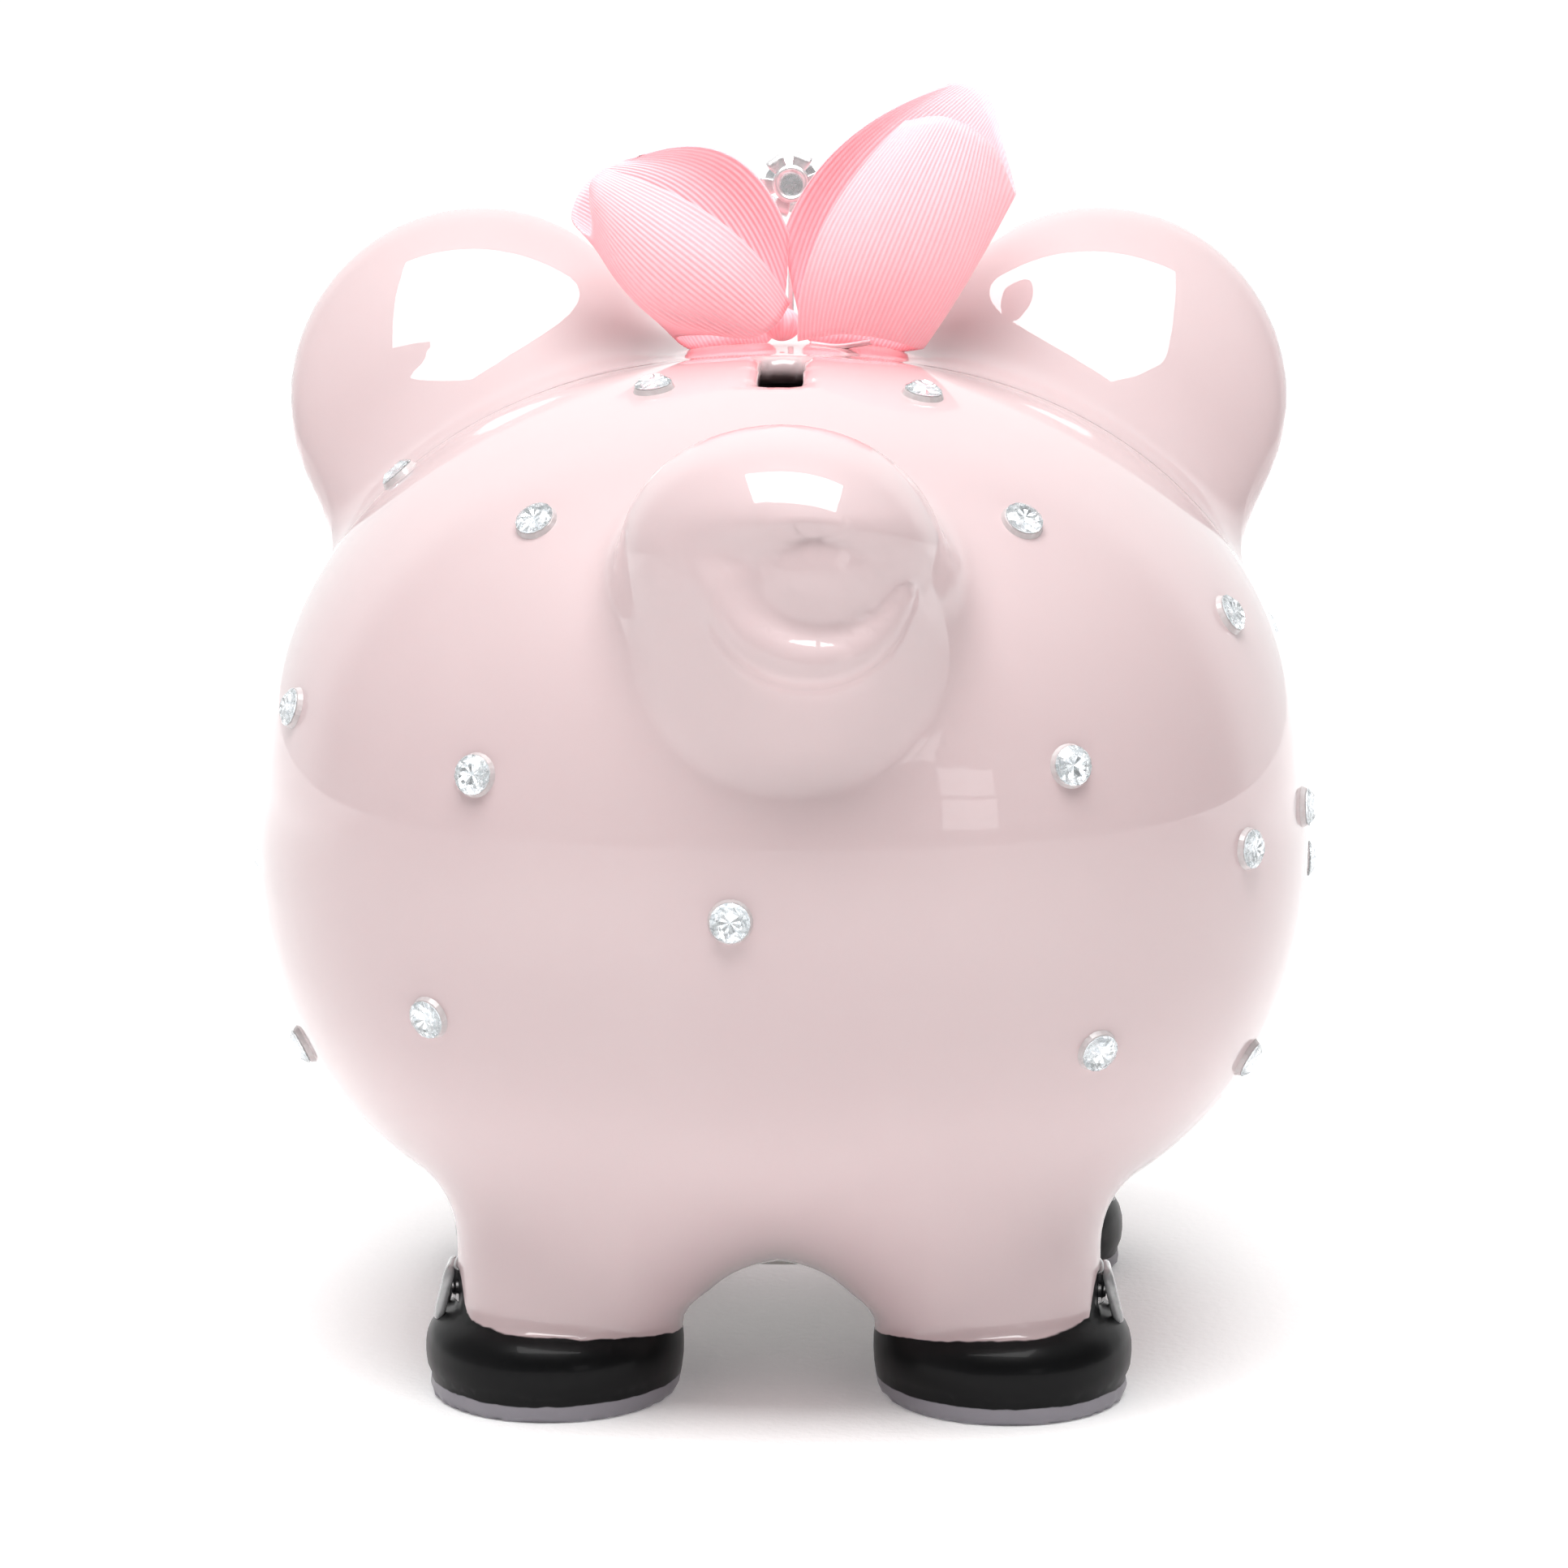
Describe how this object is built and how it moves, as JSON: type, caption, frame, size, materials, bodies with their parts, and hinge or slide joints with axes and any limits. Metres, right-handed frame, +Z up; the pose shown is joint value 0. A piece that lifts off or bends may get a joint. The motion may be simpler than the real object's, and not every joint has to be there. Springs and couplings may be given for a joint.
{
  "type": "figural animal coin bank",
  "caption": "Hollow glazed ceramic pig coin bank with a slot in its crown, a rubber stopper in its belly, glued rhinestones, and a ribbon bow with a brooch.",
  "frame": {"origin": "on the floor, under the middle of the whole bank", "axes": "+Z up, +Y the way the pig looks, +X towards the pig's right side as seen from behind"},
  "size_m": [0.1806, 0.2042, 0.2121],
  "materials": {
    "glazed_ceramic": "high-gloss pale pink glaze, with black and grey glaze on the moulded shoes",
    "stopper_rubber": "matt off-white soft rubber",
    "rhinestone_crystal": "clear faceted stones with silver foil backs",
    "grosgrain_ribbon": "ribbed pink grosgrain, slight sheen",
    "silver_wire": "bright drawn wire",
    "bright_metal": "bright plated stamping",
    "brooch_crystal": "clear faceted stone"
  },
  "bodies": {
    "bank": {"ceramic_body": "glazed_ceramic", "rhinestone_01": "rhinestone_crystal", "rhinestone_02": "rhinestone_crystal", "rhinestone_03": "rhinestone_crystal", "rhinestone_04": "rhinestone_crystal", "rhinestone_05": "rhinestone_crystal", "rhinestone_06": "rhinestone_crystal", "rhinestone_07": "rhinestone_crystal", "rhinestone_08": "rhinestone_crystal", "rhinestone_09": "rhinestone_crystal", "rhinestone_10": "rhinestone_crystal", "rhinestone_11": "rhinestone_crystal", "rhinestone_12": "rhinestone_crystal", "rhinestone_13": "rhinestone_crystal", "rhinestone_14": "rhinestone_crystal", "rhinestone_15": "rhinestone_crystal", "rhinestone_16": "rhinestone_crystal", "rhinestone_17": "rhinestone_crystal", "rhinestone_18": "rhinestone_crystal", "rhinestone_19": "rhinestone_crystal", "rhinestone_20": "rhinestone_crystal", "rhinestone_21": "rhinestone_crystal", "rhinestone_22": "rhinestone_crystal", "rhinestone_23": "rhinestone_crystal", "rhinestone_24": "rhinestone_crystal", "rhinestone_25": "rhinestone_crystal", "rhinestone_26": "rhinestone_crystal", "rhinestone_27": "rhinestone_crystal", "rhinestone_28": "rhinestone_crystal", "rhinestone_29": "rhinestone_crystal", "rhinestone_30": "rhinestone_crystal", "rhinestone_31": "rhinestone_crystal", "rhinestone_32": "rhinestone_crystal", "ribbon_loop_right": "grosgrain_ribbon", "ribbon_loop_left": "grosgrain_ribbon", "ribbon_pinch": "grosgrain_ribbon", "bow_wire": "silver_wire", "brooch_setting": "bright_metal", "brooch_stone": "brooch_crystal", "brooch_stem": "silver_wire"},
    "stopper": {"stopper": "stopper_rubber"}
  },
  "joints": [
    {"name": "stopper_pull", "type": "slide", "parent": "bank", "child": "stopper", "axis": [0, 0, -1], "range_m": [0, 0.032]}
  ]
}
